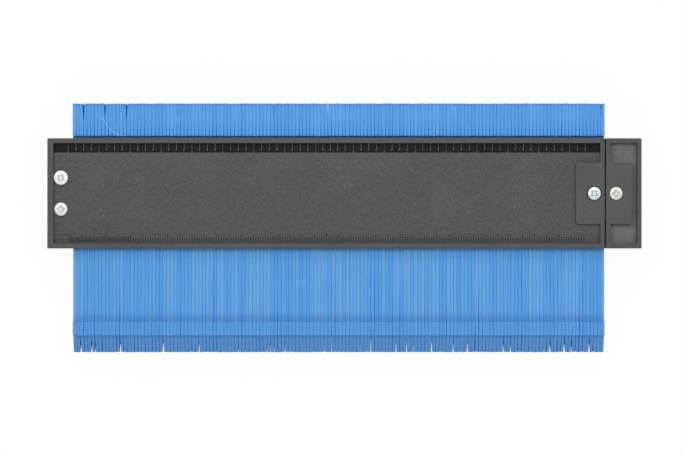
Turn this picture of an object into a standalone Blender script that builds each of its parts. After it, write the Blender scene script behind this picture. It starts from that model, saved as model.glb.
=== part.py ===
# Contour gauge: 148 thin plastic leaves held side by side in a flat two-shell housing, so that their tips
# take the shape of whatever they are pressed against. It lies on its back: +X runs along the housing,
# the leaves slide along +Y and the scaled face looks up +Z. The origin is under the middle of its outline.

import math
from collections import namedtuple

import bmesh
import bpy
from mathutils import Matrix, Vector

MM = 0.001

# Leaves
LEAF_THICKNESS = 1.39 * MM
LEAF_GAP = 0.085 * MM
LEAVES_PER_GROUP = 4
GROUP_COUNT = 37
HEAD_LENGTH = 13.8 * MM
NECK_LENGTH = 76.0 * MM
LUG_LENGTH = 5.5 * MM
TIP_LENGTH = 7.2 * MM
NECK_DEPTH = 11.0 * MM
STOP_INSET = 1.5 * MM
TIP_DEPTH = 3.0 * MM
HEAD_CORNER_RADIUS = 2.0 * MM
HEAD_LIFT = 0.65 * MM
JOIN_LENGTH = 12.0 * MM
JOIN_COVER = 1.5 * MM

# Housing
HOUSING_HEIGHT = 45.2 * MM
PANEL_WALL = 2.3 * MM
LEFT_BLOCK_LENGTH = 10.2 * MM
LEAF_SIDE_CLEARANCE = 0.15 * MM
LEAF_FACE_CLEARANCE = 0.20 * MM
CAP_SIDE_CLEARANCE = 0.5 * MM
PARTING_GAP = 0.10 * MM
OUTER_EDGE_RADIUS = 0.3 * MM

# Recessed face and its two scale bands
LEFT_RIM = 2.5 * MM
EDGE_RIM = 2.0 * MM
RIGHT_RIM = 1.85 * MM
RECESS_DEPTH = 2.0 * MM
INCH_BAND_WIDTH = 3.8 * MM
INCH_BAND_DEPTH = 0.8 * MM
METRIC_BAND_WIDTH = 3.7 * MM
METRIC_BAND_DEPTH = 0.3 * MM

# End cap and the raised pads on both sides of the joint
CAP_LENGTH = 14.6 * MM
CAP_GAP = 0.5 * MM
CAP_SQUEEZE = 0.35 * MM
CAP_RELEASE = 0.15 * MM
CAP_RIM = 1.8 * MM
CAP_RECESS_DEPTH = 4.0 * MM
PAD_WALL = 1.3 * MM
PAD_CORNER_RADIUS = 1.0 * MM

# Link plates that carry the end cap
PLATE_THICKNESS = 1.45 * MM
PLATE_WIDTH = 22.0 * MM
PLATE_SHELL_REACH = 9.9 * MM
PLATE_CAP_REACH = 9.3 * MM
PLATE_CORNER_RADIUS = 1.5 * MM
PLATE_CLEARANCE = 0.15 * MM
PLATE_SIDE_CLEARANCE = 0.3 * MM

# Screws
HEAD_RADIUS = 2.8 * MM
UPPER_HEAD_RADIUS = 3.05 * MM
HEAD_HEIGHT = 1.7 * MM
HEAD_RIM_HEIGHT = 0.8 * MM
HEAD_SEAT_GAP = 0.05 * MM
HEAD_CLEARANCE = 0.15 * MM
SEAT_SINK = 0.1 * MM
SHANK_RADIUS = 1.1 * MM
SHANK_CLEARANCE = 0.25 * MM
SHANK_POINT = 0.8 * MM
CROSS_LENGTH = 3.0 * MM
CROSS_WIDTH = 0.75 * MM
CROSS_DEPTH = 0.9 * MM
LEFT_SCREW_SPACING = 12.9 * MM
LEFT_SCREW_INSET = 5.5 * MM
LEFT_SCREW_LENGTH = 13.0 * MM
CLAMP_SINK_WALL = 1.12 * MM
CAP_SINK_WALL = 1.27 * MM
CAP_SCREW_LENGTH = 5.5 * MM
PILOT_RUNOUT = 1.0 * MM

# Roundness of turned and rounded shapes
TURN_STEPS = 10
HOLE_SIDES = 14
ARC_STEPS = 2
SMOOTH_ANGLE = math.radians(35)
DOME_STEPS = 2
LEAF_ARC_STEPS = 1
CUT_MARGIN = 1.0 * MM
NEAR = 0.01 * MM

# Places along the housing, from its left end
LEAF_PITCH = LEAF_THICKNESS + LEAF_GAP
GROUP_PITCH = LEAVES_PER_GROUP * LEAF_PITCH
GROUP_WIDTH = GROUP_PITCH - LEAF_GAP
PACK_LENGTH = GROUP_COUNT * GROUP_PITCH - LEAF_GAP
POCKET_LENGTH = LEAF_SIDE_CLEARANCE + PACK_LENGTH + CAP_SIDE_CLEARANCE
TOTAL_LENGTH = LEFT_BLOCK_LENGTH + POCKET_LENGTH + CAP_LENGTH
LEFT_X = -TOTAL_LENGTH / 2
BLOCK_X = LEFT_X + LEFT_BLOCK_LENGTH
CAP_X = BLOCK_X + POCKET_LENGTH
SHELL_RIGHT_X = CAP_X - CAP_GAP
RIGHT_X = LEFT_X + TOTAL_LENGTH
LEFT_SCREW_X = LEFT_X + LEFT_SCREW_INSET
SINK_RADIUS = HEAD_RADIUS + HEAD_CLEARANCE
CLAMP_SCREW_X = SHELL_RIGHT_X - CLAMP_SINK_WALL - CAP_RELEASE - SINK_RADIUS
CAP_SCREW_X = CAP_X + CAP_SINK_WALL + SINK_RADIUS
PLATE_LEFT_X = SHELL_RIGHT_X - PLATE_SHELL_REACH
PLATE_RIGHT_X = CAP_X + PLATE_CAP_REACH
SHELL_POCKET_X = PLATE_LEFT_X - CAP_SQUEEZE - PLATE_SIDE_CLEARANCE
SHELL_PAD_X = SHELL_POCKET_X - PAD_WALL
CAP_PAD_X = PLATE_RIGHT_X + PLATE_SIDE_CLEARANCE + PAD_WALL

# Places across the housing, from its centre line
HALF_HEIGHT = HOUSING_HEIGHT / 2
RECESS_HALF = HALF_HEIGHT - EDGE_RIM
POCKET_HALF = PLATE_WIDTH / 2 + PLATE_SIDE_CLEARANCE
PAD_HALF = POCKET_HALF + PAD_WALL
HEAD_BOTTOM = HALF_HEIGHT + HEAD_LIFT
LEAF_TOP = HEAD_BOTTOM + HEAD_LENGTH
LUG_TOP = HEAD_BOTTOM - NECK_LENGTH
LUG_BOTTOM = LUG_TOP - LUG_LENGTH
LEAF_BOTTOM = LUG_BOTTOM - TIP_LENGTH
JOIN_BOTTOM = -HALF_HEIGHT + JOIN_COVER
JOIN_TOP = JOIN_BOTTOM + JOIN_LENGTH
OUTLINE_MIDDLE = (LEAF_TOP + LEAF_BOTTOM) / 2

# Heights above the mid plane, where the two shells part
INNER_LEVEL = NECK_DEPTH / 2 + LEAF_FACE_CLEARANCE
PANEL_LEVEL = INNER_LEVEL + PANEL_WALL
RIM_LEVEL = PANEL_LEVEL + RECESS_DEPTH
STOP_LEVEL = RIM_LEVEL - STOP_INSET
PARTING_LEVEL = PARTING_GAP / 2
PLATE_LOW = INNER_LEVEL + HEAD_SEAT_GAP
PLATE_HIGH = PLATE_LOW + PLATE_THICKNESS
PLATE_POCKET_LEVEL = PLATE_HIGH + PLATE_CLEARANCE
LEFT_SEAT_LEVEL = PANEL_LEVEL - SEAT_SINK
SUNK_SEAT_LEVEL = RIM_LEVEL - HEAD_HEIGHT - HEAD_SEAT_GAP
CLAMP_SCREW_LENGTH = SUNK_SEAT_LEVEL - PLATE_LOW
HOLE_RADIUS = SHANK_RADIUS + SHANK_CLEARANCE

FRONT = 1
REAR = -1

# Where new objects go: the collection of pieces, that of their cutters, and the empty that carries both.
Bench = namedtuple("Bench", "pieces cutters base")


def clear_scene():
    for old in list(bpy.data.objects):
        bpy.data.objects.remove(old, do_unlink=True)


def new_collection(name):
    collection = bpy.data.collections.new(name)
    bpy.context.scene.collection.children.link(collection)
    return collection


def new_material(name, colour, roughness, metallic):
    made = bpy.data.materials.new(name)
    made.use_nodes = True
    shader = made.node_tree.nodes["Principled BSDF"]
    shader.inputs["Base Color"].default_value = (*colour, 1.0)
    shader.inputs["Roughness"].default_value = roughness
    shader.inputs["Metallic"].default_value = metallic
    return made


def rounded(corners, steps=ARC_STEPS):
    # Each corner is (u, v, radius); a corner with a radius becomes an arc of that many steps.
    points = []
    for index, (u, v, radius) in enumerate(corners):
        corner = Vector((u, v))
        if radius <= 0:
            points.append(corner)
            continue
        before = Vector(corners[index - 1][:2]) - corner
        after = Vector(corners[(index + 1) % len(corners)][:2]) - corner
        half_angle = before.angle(after) / 2
        before.normalize()
        after.normalize()
        centre = corner + (before + after).normalized() * (radius / math.sin(half_angle))
        start = corner + before * (radius / math.tan(half_angle)) - centre
        sweep = start.angle_signed(corner + after * (radius / math.tan(half_angle)) - centre)
        for step in range(steps + 1):
            turn = Matrix.Rotation(-sweep * step / steps, 2)
            points.append(centre + turn @ start)
    return points


def slot_outline(x_from, x_to, y, radius):
    # A slot with round ends, whose end centres are at x_from and x_to.
    half_sides = HOLE_SIDES // 2
    points = []
    for centre_x, start in ((x_to, -math.pi / 2), (x_from, math.pi / 2)):
        for step in range(half_sides + 1):
            angle = start + math.pi * step / half_sides
            points.append((centre_x + radius * math.cos(angle), y + radius * math.sin(angle)))
    return points


def prism(name, points, low, high, axes="XYZ"):
    # A flat outline extruded between two heights. axes names the world axes of u, v and the extrusion.
    curve = bpy.data.curves.new(name, "CURVE")
    curve.dimensions = "2D"
    curve.fill_mode = "BOTH"
    curve.extrude = (high - low) / 2
    spline = curve.splines.new("POLY")
    spline.points.add(len(points) - 1)
    for point, (u, v) in zip(spline.points, points):
        point.co = (u, v, 0.0, 1.0)
    spline.use_cyclic_u = True
    guide = bpy.data.objects.new(name, curve)
    bpy.context.scene.collection.objects.link(guide)
    directions = {"X": Vector((1, 0, 0)), "Y": Vector((0, 1, 0)), "Z": Vector((0, 0, 1))}
    u_axis, v_axis, w_axis = (directions[letter] for letter in axes)
    placing = Matrix((u_axis, v_axis, w_axis)).transposed().to_4x4()
    guide.matrix_world = placing @ Matrix.Translation((0, 0, (low + high) / 2))
    bpy.context.view_layer.update()
    graph = bpy.context.evaluated_depsgraph_get()
    mesh = bpy.data.meshes.new_from_object(guide.evaluated_get(graph))
    mesh.transform(guide.matrix_world)
    bpy.data.objects.remove(guide)
    shape = bmesh.new()
    shape.from_mesh(mesh)
    bmesh.ops.remove_doubles(shape, verts=shape.verts, dist=1e-7)
    bmesh.ops.recalc_face_normals(shape, faces=shape.faces)
    shape.to_mesh(mesh)
    shape.free()
    return bpy.data.objects.new(name, mesh)


def box(name, low, high):
    mesh = bpy.data.meshes.new(name)
    shape = bmesh.new()
    bmesh.ops.create_cube(shape, size=1.0)
    bmesh.ops.scale(shape, vec=Vector(high) - Vector(low), verts=shape.verts)
    bmesh.ops.translate(shape, vec=(Vector(high) + Vector(low)) / 2, verts=shape.verts)
    shape.to_mesh(mesh)
    shape.free()
    return bpy.data.objects.new(name, mesh)


def levels(side, first, second):
    # Two heights above the mid plane as world heights, lowest first, on the front or rear side.
    return sorted(RIM_LEVEL + side * level for level in (first, second))


def hole(name, x, y, radius, low, high):
    mesh = bpy.data.meshes.new(name)
    shape = bmesh.new()
    bmesh.ops.create_cone(
        shape,
        cap_ends=True,
        segments=HOLE_SIDES,
        radius1=radius,
        radius2=radius,
        depth=high - low,
        matrix=Matrix.Translation((x, y, (low + high) / 2)),
    )
    shape.to_mesh(mesh)
    shape.free()
    return bpy.data.objects.new(name, mesh)


def near(first, second):
    return abs(first - second) < NEAR


def cut(piece, cutter, bench):
    # The cutter stays beside the model as a wire helper.
    bench.cutters.objects.link(cutter)
    cutter.parent = bench.base
    cutter.hide_render = True
    cutter.display_type = "WIRE"
    modifier = piece.modifiers.new(cutter.name, "BOOLEAN")
    modifier.operation = "DIFFERENCE"
    modifier.object = cutter


def bevel_edges(piece, width, chosen):
    shape = bmesh.new()
    shape.from_mesh(piece.data)
    edges = [edge for edge in shape.edges if chosen(*(vertex.co for vertex in edge.verts))]
    bmesh.ops.bevel(shape, geom=edges, offset=width, segments=1, affect="EDGES")
    shape.to_mesh(piece.data)
    shape.free()


def add(piece, look, bench):
    bench.pieces.objects.link(piece)
    piece.parent = bench.base
    piece.data.materials.clear()
    piece.data.materials.append(look)


def baked(piece, bench):
    # The piece's mesh with its cuts taken, so that copies can share it.
    bench.pieces.objects.link(piece)
    piece.parent = bench.base
    bpy.context.view_layer.update()
    graph = bpy.context.evaluated_depsgraph_get()
    mesh = bpy.data.meshes.new_from_object(piece.evaluated_get(graph))
    mesh.name = piece.name
    bpy.data.objects.remove(piece)
    return mesh


def leaf_outline():
    # One leaf seen from the end of the housing: u along its length, v from its mid plane. The wide head and
    # lug stop it in the housing, and the fine tip below the lug does the tracing.
    neck = NECK_DEPTH / 2
    front = [
        (LEAF_TOP, STOP_LEVEL, HEAD_CORNER_RADIUS),
        (HEAD_BOTTOM, STOP_LEVEL, 0),
        (HEAD_BOTTOM, neck, 0),
        (LUG_TOP, neck, 0),
        (LUG_TOP, STOP_LEVEL, 0),
        (LUG_BOTTOM, STOP_LEVEL, 0),
        (LUG_BOTTOM, neck, 0),
        (LEAF_BOTTOM, TIP_DEPTH / 2, 0),
    ]
    rear = [(u, -v, radius) for u, v, radius in reversed(front)]
    return rounded(front + rear, LEAF_ARC_STEPS)


def leaf_group_mesh(bench):
    # Four neighbouring leaves. They are slit apart at both ends and only join where the housing always
    # covers them, at rest and when pushed all the way.
    block = prism("leaf_group", leaf_outline(), -GROUP_WIDTH / 2, GROUP_WIDTH / 2, "YZX")
    first_slit = -GROUP_WIDTH / 2 + LEAF_THICKNESS
    ends = {
        "upper_slits": (JOIN_TOP, LEAF_TOP + CUT_MARGIN),
        "lower_slits": (LEAF_BOTTOM - CUT_MARGIN, JOIN_BOTTOM),
    }
    reach = STOP_LEVEL + CUT_MARGIN
    for name, (low, high) in ends.items():
        slits = box(name, (first_slit, low, -reach), (first_slit + LEAF_GAP, high, reach))
        repeat = slits.modifiers.new("each_gap", "ARRAY")
        repeat.count = LEAVES_PER_GROUP - 1
        repeat.use_relative_offset = False
        repeat.use_constant_offset = True
        repeat.constant_offset_displace = (LEAF_PITCH, 0, 0)
        cut(block, slits, bench)
    return baked(block, bench)


def add_leaf_groups(look, bench):
    mesh = leaf_group_mesh(bench)
    for index in range(GROUP_COUNT):
        group = bpy.data.objects.new(f"leaf_group_{index + 1:02d}", mesh)
        centre = BLOCK_X + LEAF_SIDE_CLEARANCE + index * GROUP_PITCH + GROUP_WIDTH / 2
        group.location = (centre, 0, RIM_LEVEL)
        add(group, look, bench)


def shell_blank(name, side):
    # A long plate that covers the leaves, with half of the left end block on its inner side.
    rim, inner, parting = (RIM_LEVEL + side * level for level in (RIM_LEVEL, INNER_LEVEL, PARTING_LEVEL))
    corners = [
        (LEFT_X, parting, 0),
        (LEFT_X, rim, OUTER_EDGE_RADIUS),
        (SHELL_RIGHT_X, rim, OUTER_EDGE_RADIUS),
        (SHELL_RIGHT_X, inner, 0),
        (BLOCK_X, inner, 0),
        (BLOCK_X, parting, 0),
    ]
    blank = prism(name, rounded(corners, 1), -HALF_HEIGHT, HALF_HEIGHT, "XZY")
    bevel_edges(
        blank,
        OUTER_EDGE_RADIUS,
        lambda a, b: near(a.y, b.y) and near(a.z, rim) and near(b.z, rim),
    )
    return blank


def shell_recess(name, side):
    # The sunk face stops short of the raised pad at the right end.
    left, right = LEFT_X + LEFT_RIM, SHELL_RIGHT_X - RIGHT_RIM
    corners = [
        (left, -RECESS_HALF, 0),
        (right, -RECESS_HALF, 0),
        (right, -PAD_HALF, 0),
        (SHELL_PAD_X, -PAD_HALF, PAD_CORNER_RADIUS),
        (SHELL_PAD_X, PAD_HALF, PAD_CORNER_RADIUS),
        (right, PAD_HALF, 0),
        (right, RECESS_HALF, 0),
        (left, RECESS_HALF, 0),
    ]
    low, high = levels(side, PANEL_LEVEL, RIM_LEVEL + CUT_MARGIN)
    return prism(name, rounded(corners), low, high)


def scale_band(name, y_from, y_to, depth):
    low, high = levels(FRONT, PANEL_LEVEL - depth, RIM_LEVEL + CUT_MARGIN)
    return box(name, (LEFT_X + LEFT_RIM, y_from, low), (SHELL_RIGHT_X - RIGHT_RIM, y_to, high))


def plate_pocket(name, side, x_from, x_to, inner_level):
    low, high = levels(side, inner_level, PLATE_POCKET_LEVEL)
    return box(name, (x_from, -POCKET_HALF, low), (x_to, POCKET_HALF, high))


def cut_shell(shell, side, bench):
    name = shell.name
    cut(shell, shell_recess(f"{name}_recess", side), bench)
    if side == FRONT:
        inch_edge = RECESS_HALF - INCH_BAND_WIDTH
        metric_edge = -RECESS_HALF + METRIC_BAND_WIDTH
        cut(shell, scale_band("inch_band", inch_edge, RECESS_HALF, INCH_BAND_DEPTH), bench)
        cut(shell, scale_band("metric_band", -RECESS_HALF, metric_edge, METRIC_BAND_DEPTH), bench)
    pocket_right = SHELL_RIGHT_X + CUT_MARGIN
    pocket = plate_pocket(f"{name}_pocket", side, SHELL_POCKET_X, pocket_right, INNER_LEVEL - CUT_MARGIN)
    cut(shell, pocket, bench)

    # The clamp screw shifts with its plate in this slot while the end cap is being adjusted.
    ends = (CLAMP_SCREW_X - CAP_SQUEEZE, CLAMP_SCREW_X + CAP_RELEASE)
    low, high = levels(side, INNER_LEVEL - CUT_MARGIN, RIM_LEVEL + CUT_MARGIN)
    slot = slot_outline(*ends, 0, HOLE_RADIUS)
    cut(shell, prism(f"{name}_slot", slot, low, high), bench)
    low, high = levels(side, SUNK_SEAT_LEVEL, RIM_LEVEL + CUT_MARGIN)
    sink = slot_outline(*ends, 0, SINK_RADIUS)
    cut(shell, prism(f"{name}_sink", sink, low, high), bench)
    cut_left_holes(shell, side, bench)


def cut_left_holes(shell, side, bench):
    # The front half is drilled through for the left screws, and the rear half is blind. The heads of the
    # screws stand in round seats that bite a little into the rim.
    name = shell.name
    if side == FRONT:
        low, high = levels(FRONT, -CUT_MARGIN, RIM_LEVEL)
    else:
        low, high = levels(FRONT, LEFT_SEAT_LEVEL - LEFT_SCREW_LENGTH - PILOT_RUNOUT, CUT_MARGIN)
    seat_levels = levels(side, LEFT_SEAT_LEVEL, RIM_LEVEL + CUT_MARGIN)
    offset = LEFT_SCREW_SPACING / 2
    for place, y, head_radius in (("upper", offset, UPPER_HEAD_RADIUS), ("lower", -offset, HEAD_RADIUS)):
        if side == FRONT:
            seat_radius = head_radius + HEAD_CLEARANCE
            cut(shell, hole(f"{name}_{place}_seat", LEFT_SCREW_X, y, seat_radius, *seat_levels), bench)
        cut(shell, hole(f"{name}_{place}_hole", LEFT_SCREW_X, y, HOLE_RADIUS, low, high), bench)


def add_shell(name, side, look, bench):
    shell = shell_blank(name, side)
    cut_shell(shell, side, bench)
    add(shell, look, bench)


def cap_recess(name, side):
    left, right = CAP_X + CAP_RIM, RIGHT_X - CAP_RIM
    corners = [
        (left, -RECESS_HALF, 0),
        (right, -RECESS_HALF, 0),
        (right, RECESS_HALF, 0),
        (left, RECESS_HALF, 0),
        (left, PAD_HALF, 0),
        (CAP_PAD_X, PAD_HALF, PAD_CORNER_RADIUS),
        (CAP_PAD_X, -PAD_HALF, PAD_CORNER_RADIUS),
        (left, -PAD_HALF, 0),
    ]
    low, high = levels(side, RIM_LEVEL - CAP_RECESS_DEPTH, RIM_LEVEL + CUT_MARGIN)
    return prism(name, rounded(corners), low, high)


def add_end_cap(look, bench):
    cap = box("end_cap", (CAP_X, -HALF_HEIGHT, 0), (RIGHT_X, HALF_HEIGHT, 2 * RIM_LEVEL))
    bevel_edges(cap, OUTER_EDGE_RADIUS, lambda a, b: not near(a.x, b.x) or near(a.x, RIGHT_X))
    for word, side in (("front", FRONT), ("rear", REAR)):
        cut(cap, cap_recess(f"cap_{word}_recess", side), bench)
        pocket_right = PLATE_RIGHT_X + PLATE_SIDE_CLEARANCE
        pocket_floor = PLATE_LOW - PLATE_CLEARANCE
        pocket = plate_pocket(f"cap_{word}_pocket", side, CAP_X - CUT_MARGIN, pocket_right, pocket_floor)
        cut(cap, pocket, bench)
        low, high = levels(side, SUNK_SEAT_LEVEL, RIM_LEVEL + CUT_MARGIN)
        sink = hole(f"cap_{word}_sink", CAP_SCREW_X, 0, SINK_RADIUS, low, high)
        cut(cap, sink, bench)
        deep = SUNK_SEAT_LEVEL - CAP_SCREW_LENGTH - PILOT_RUNOUT
        low, high = levels(side, deep, RIM_LEVEL)
        pilot = hole(f"cap_{word}_pilot", CAP_SCREW_X, 0, HOLE_RADIUS, low, high)
        cut(cap, pilot, bench)
    add(cap, look, bench)


def add_link_plate(name, side, look, bench):
    half = PLATE_WIDTH / 2
    corners = [
        (PLATE_LEFT_X, -half, PLATE_CORNER_RADIUS),
        (PLATE_RIGHT_X, -half, PLATE_CORNER_RADIUS),
        (PLATE_RIGHT_X, half, PLATE_CORNER_RADIUS),
        (PLATE_LEFT_X, half, PLATE_CORNER_RADIUS),
    ]
    low, high = levels(side, PLATE_LOW, PLATE_HIGH)
    plate = prism(name, rounded(corners), low, high)
    for place, x in (("clamp", CLAMP_SCREW_X), ("cap", CAP_SCREW_X)):
        cutter = hole(f"{name}_{place}_hole", x, 0, HOLE_RADIUS, low - CUT_MARGIN, high + CUT_MARGIN)
        cut(plate, cutter, bench)
    add(plate, look, bench)


def screw_profile(length, head_radius):
    # From the crown of the domed head down to the point, at +X.
    rise = HEAD_HEIGHT - HEAD_RIM_HEIGHT
    dome_radius = (head_radius**2 + rise**2) / (2 * rise)
    dome_angle = math.asin(head_radius / dome_radius)
    crown = []
    for step in range(DOME_STEPS + 1):
        angle = dome_angle * step / DOME_STEPS
        height = HEAD_HEIGHT - dome_radius * (1 - math.cos(angle))
        crown.append((dome_radius * math.sin(angle), height))
    return crown + [
        (head_radius, 0.0),
        (SHANK_RADIUS, 0.0),
        (SHANK_RADIUS, SHANK_POINT - length),
        (SHANK_RADIUS / 2, -length),
        (0.0, -length),
    ]


def screw_mesh(name, length, head_radius, bench):
    # A turned pan head screw with a cross recess, standing on the seat of its head.
    mesh = bpy.data.meshes.new(name)
    points = [(radius, 0.0, height) for radius, height in screw_profile(length, head_radius)]
    mesh.from_pydata(points, [(i, i + 1) for i in range(len(points) - 1)], [])
    blank = bpy.data.objects.new(name, mesh)
    turn = blank.modifiers.new("turn", "SCREW")
    turn.steps = TURN_STEPS
    turn.render_steps = TURN_STEPS
    turn.use_merge_vertices = True
    turn.merge_threshold = 1e-6
    long, wide = CROSS_LENGTH / 2, CROSS_WIDTH / 2
    for index, (x, y) in enumerate(((long, wide), (wide, long))):
        low = (-x, -y, HEAD_HEIGHT - CROSS_DEPTH)
        arm = box(f"{name}_cross_{index}", low, (x, y, HEAD_HEIGHT + CUT_MARGIN))
        cut(blank, arm, bench)
    made = baked(blank, bench)
    made.shade_smooth()
    made.set_sharp_from_angle(angle=SMOOTH_ANGLE)
    return made


def add_screw(name, mesh, x, y, side, seat_level, turned, look, bench):
    screw = bpy.data.objects.new(name, mesh)
    height = RIM_LEVEL + side * (seat_level + HEAD_SEAT_GAP)
    facing = Matrix.Rotation(0 if side == FRONT else math.pi, 4, "X")
    own_turn = Matrix.Rotation(math.radians(turned), 4, "Z")
    add(screw, look, bench)
    screw.matrix_local = Matrix.Translation((x, y, height)) @ facing @ own_turn


def add_screws(look, bench):
    upper = screw_mesh("upper_screw", LEFT_SCREW_LENGTH, UPPER_HEAD_RADIUS, bench)
    lower = screw_mesh("lower_screw", LEFT_SCREW_LENGTH, HEAD_RADIUS, bench)
    clamp = screw_mesh("clamp_screw", CLAMP_SCREW_LENGTH, HEAD_RADIUS, bench)
    cap = screw_mesh("cap_screw", CAP_SCREW_LENGTH, HEAD_RADIUS, bench)
    offset = LEFT_SCREW_SPACING / 2
    rows = [
        ("left_screw_upper", upper, LEFT_SCREW_X, offset, FRONT, LEFT_SEAT_LEVEL, 38),
        ("left_screw_lower", lower, LEFT_SCREW_X, -offset, FRONT, LEFT_SEAT_LEVEL, 12),
        ("front_clamp_screw", clamp, CLAMP_SCREW_X, 0, FRONT, SUNK_SEAT_LEVEL, 45),
        ("rear_clamp_screw", clamp, CLAMP_SCREW_X, 0, REAR, SUNK_SEAT_LEVEL, 20),
        ("front_cap_screw", cap, CAP_SCREW_X, 0, FRONT, SUNK_SEAT_LEVEL, 8),
        ("rear_cap_screw", cap, CAP_SCREW_X, 0, REAR, SUNK_SEAT_LEVEL, 70),
    ]
    for name, mesh, x, y, side, seat_level, turned in rows:
        add_screw(name, mesh, x, y, side, seat_level, turned, look, bench)


def build():
    clear_scene()
    pieces = new_collection("contour_gauge")
    cutters = new_collection("cutters")
    grey = new_material("grey_plastic", (0.10, 0.10, 0.102), 0.55, 0.0)
    blue = new_material("blue_plastic", (0.10, 0.32, 0.74), 0.42, 0.0)
    zinc = new_material("zinc_plate", (0.72, 0.74, 0.75), 0.3, 1.0)

    # The housing's centre line lies a little above the middle of the whole outline.
    base = bpy.data.objects.new("outline_centre", None)
    base.location = (0, -OUTLINE_MIDDLE, 0)
    pieces.objects.link(base)
    bench = Bench(pieces, cutters, base)

    add_leaf_groups(blue, bench)
    for word, side in (("front", FRONT), ("rear", REAR)):
        add_shell(f"{word}_shell", side, grey, bench)
        add_link_plate(f"{word}_link_plate", side, grey, bench)
    add_end_cap(grey, bench)
    add_screws(zinc, bench)


build()
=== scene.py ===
import math

import bmesh
import bpy
from mathutils import Matrix, Vector


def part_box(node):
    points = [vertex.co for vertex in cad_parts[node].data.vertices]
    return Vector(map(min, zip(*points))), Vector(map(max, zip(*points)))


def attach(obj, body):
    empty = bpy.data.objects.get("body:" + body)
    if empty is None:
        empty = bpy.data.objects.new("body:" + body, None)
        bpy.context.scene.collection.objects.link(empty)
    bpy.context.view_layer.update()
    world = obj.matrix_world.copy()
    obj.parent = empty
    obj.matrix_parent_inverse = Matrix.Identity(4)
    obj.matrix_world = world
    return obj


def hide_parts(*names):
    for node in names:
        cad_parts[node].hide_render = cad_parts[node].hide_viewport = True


# Contour gauge on its back: the finished look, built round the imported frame.
# Sizes are in millimetres here and become metres as each mesh is made.
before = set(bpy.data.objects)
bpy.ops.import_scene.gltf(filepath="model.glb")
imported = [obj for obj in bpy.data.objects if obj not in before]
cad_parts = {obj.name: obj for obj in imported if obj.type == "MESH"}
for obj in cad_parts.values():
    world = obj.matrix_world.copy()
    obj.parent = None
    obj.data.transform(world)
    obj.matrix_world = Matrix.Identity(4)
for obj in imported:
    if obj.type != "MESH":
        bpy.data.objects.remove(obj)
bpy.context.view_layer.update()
mm = 0.001
middle = 10.0      # height of the plane where the two shells part
centreY = 14.2     # the housing's centre line
touch = 0.01       # places nearer than this count as one


def boxInMm(node):
    low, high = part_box(node)
    return Vector(low) / mm, Vector(high) / mm


# Small building helpers


def inScene(name, data):
    made = bpy.data.objects.new(name, data)
    bpy.context.scene.collection.objects.link(made)
    return made


def meshObject(name, shape):
    bmesh.ops.recalc_face_normals(shape, faces=shape.faces)
    mesh = bpy.data.meshes.new(name)
    shape.to_mesh(mesh)
    shape.free()
    return inScene(name, mesh)


def rounded(corners, steps=6):
    # corners are (u, v, radius); a radius becomes an arc of that many steps
    points = []
    for index, (u, v, radius) in enumerate(corners):
        corner = Vector((u, v))
        if radius <= 0:
            points.append(corner)
            continue
        before = (Vector(corners[index - 1][:2]) - corner).normalized()
        after = (Vector(corners[(index + 1) % len(corners)][:2]) - corner).normalized()
        half = before.angle(after) / 2
        centre = corner + (before + after).normalized() * (radius / math.sin(half))
        first = corner + before * (radius / math.tan(half)) - centre
        last = corner + after * (radius / math.tan(half)) - centre
        sweep = first.angle_signed(last)
        for step in range(steps + 1):
            points.append(centre + Matrix.Rotation(-sweep * step / steps, 2) @ first)
    return points


def slotOutline(fromX, toX, y, radius, steps=20):
    points = []
    for x, start in ((toX, -math.pi / 2), (fromX, math.pi / 2)):
        for step in range(steps + 1):
            angle = start + math.pi * step / steps
            points.append((x + radius * math.cos(angle), y + radius * math.sin(angle)))
    return points


def roundOutline(x, y, radius, sides):
    turns = [math.tau * (step + 0.5) / sides for step in range(sides)]
    return [(x + radius * math.cos(turn), y + radius * math.sin(turn)) for turn in turns]


def prism(name, outline, low, high, upright=False):
    # a flat outline pushed out along z, or an upright one along y
    def place(u, v, w):
        return Vector((u, w, v) if upright else (u, v, w)) * mm

    shape = bmesh.new()
    ring = [shape.verts.new(place(u, v, low)) for u, v in outline]
    pushed = bmesh.ops.extrude_face_region(shape, geom=[shape.faces.new(ring)])
    far = [item for item in pushed["geom"] if isinstance(item, bmesh.types.BMVert)]
    bmesh.ops.translate(shape, verts=far, vec=place(0, 0, high - low))
    return meshObject(name, shape)


def block(name, low, high):
    corners = [(low[0], low[1]), (high[0], low[1]), (high[0], high[1]), (low[0], high[1])]
    return prism(name, corners, low[2], high[2])


def levels(side, first, second):
    return sorted(middle + side * value for value in (first, second))


def roundEdges(piece, width, segments, chosen):
    shape = bmesh.new()
    shape.from_mesh(piece.data)
    edges = [edge for edge in shape.edges if chosen(*(vert.co / mm for vert in edge.verts))]
    bmesh.ops.bevel(shape, geom=edges, offset=width * mm, segments=segments, profile=0.5, affect="EDGES")
    shape.to_mesh(piece.data)
    shape.free()


def settle(piece):
    # the mesh as its modifiers leave it, as a plain mesh
    bpy.context.view_layer.update()
    graph = bpy.context.evaluated_depsgraph_get()
    mesh = bpy.data.meshes.new_from_object(piece.evaluated_get(graph))
    piece.modifiers.clear()
    old = piece.data
    piece.data = mesh
    bpy.data.meshes.remove(old)
    mesh.name = piece.name
    return piece


def carve(piece, cutters):
    for cutter in cutters:
        modifier = piece.modifiers.new(cutter.name, "BOOLEAN")
        modifier.operation = "DIFFERENCE"
        modifier.solver = "EXACT"
        modifier.object = cutter
    settle(piece)
    for cutter in cutters:
        bpy.data.objects.remove(cutter)


def soften(piece, width, angle=45.0):
    # small round edges that catch the light, with flat faces kept flat in shading
    bevel = piece.modifiers.new("edges", "BEVEL")
    bevel.width = width * mm
    bevel.segments = 2
    bevel.limit_method = "ANGLE"
    bevel.angle_limit = math.radians(angle)
    bevel.use_clamp_overlap = False
    bevel.miter_outer = "MITER_ARC"
    settle(piece)


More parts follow.
